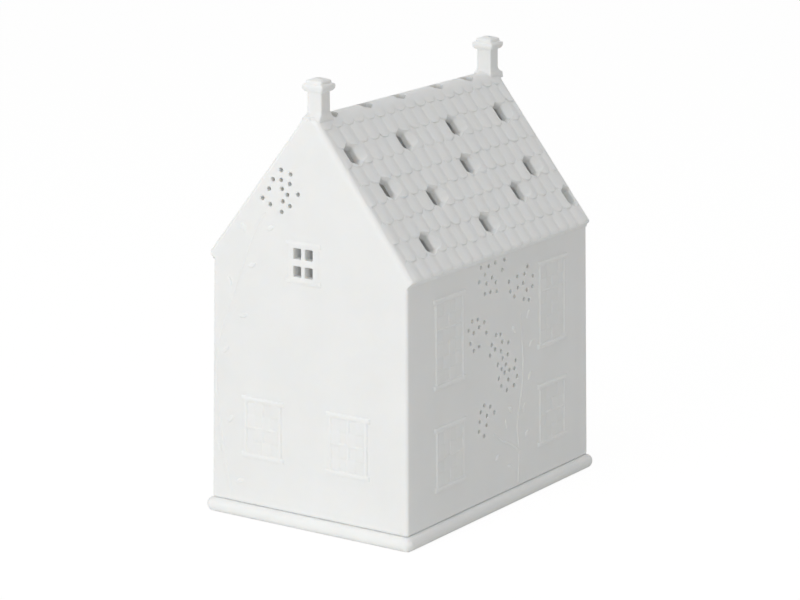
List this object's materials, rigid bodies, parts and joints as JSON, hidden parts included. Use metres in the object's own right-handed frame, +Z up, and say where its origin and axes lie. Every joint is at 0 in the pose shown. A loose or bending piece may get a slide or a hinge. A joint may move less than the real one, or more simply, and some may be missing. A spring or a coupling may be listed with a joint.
{
  "type": "tealight house",
  "caption": "Gabled porcelain tealight house with a tiled, pierced roof and end chimneys, lifting off a plate that carries a tealight.",
  "frame": {"origin": "middle of the plate's underside", "axes": "+Z up, ridge along Y, front gable facing -Y, right long wall facing +X"},
  "size_m": [0.1102, 0.1552, 0.199],
  "materials": {
    "porcelain": "matt, unglazed",
    "cup": "drawn, bright",
    "wax": "smooth wax",
    "wick": "braided cotton",
    "tab": "tinned"
  },
  "bodies": {
    "base": {"base_plate": "porcelain"},
    "house": {"front_gable_wall": "porcelain", "back_gable_wall": "porcelain", "right_side_wall": "porcelain", "left_side_wall": "porcelain", "right_roof_slope": "porcelain", "left_roof_slope": "porcelain", "front_chimney": "porcelain", "rear_chimney": "porcelain", "front_window_left": "porcelain", "front_window_right": "porcelain", "front_attic_window": "porcelain", "front_branch": "porcelain", "back_window_left": "porcelain", "back_window_right": "porcelain", "back_attic_window": "porcelain", "back_branch": "porcelain", "right_window_lower_front": "porcelain", "right_window_lower_rear": "porcelain", "right_window_upper_front": "porcelain", "right_window_upper_rear": "porcelain", "right_branch": "porcelain", "left_window_lower_front": "porcelain", "left_window_lower_rear": "porcelain", "left_window_upper_front": "porcelain", "left_window_upper_rear": "porcelain", "left_branch": "porcelain"},
    "cup": {"tealight_cup": "cup"},
    "candle": {"tealight_wax": "wax", "tealight_wick": "wick", "wick_tab": "tab"}
  },
  "joints": [
    {"name": "house_lift", "type": "slide", "parent": "base", "child": "house", "axis": [0, 0, 1], "range_m": [0, 0.08]},
    {"name": "cup_lift", "type": "slide", "parent": "base", "child": "cup", "axis": [0, 0, 1], "range_m": [0, 0.04]},
    {"name": "candle_lift", "type": "slide", "parent": "cup", "child": "candle", "axis": [0, 0, 1], "range_m": [0, 0.02]}
  ]
}
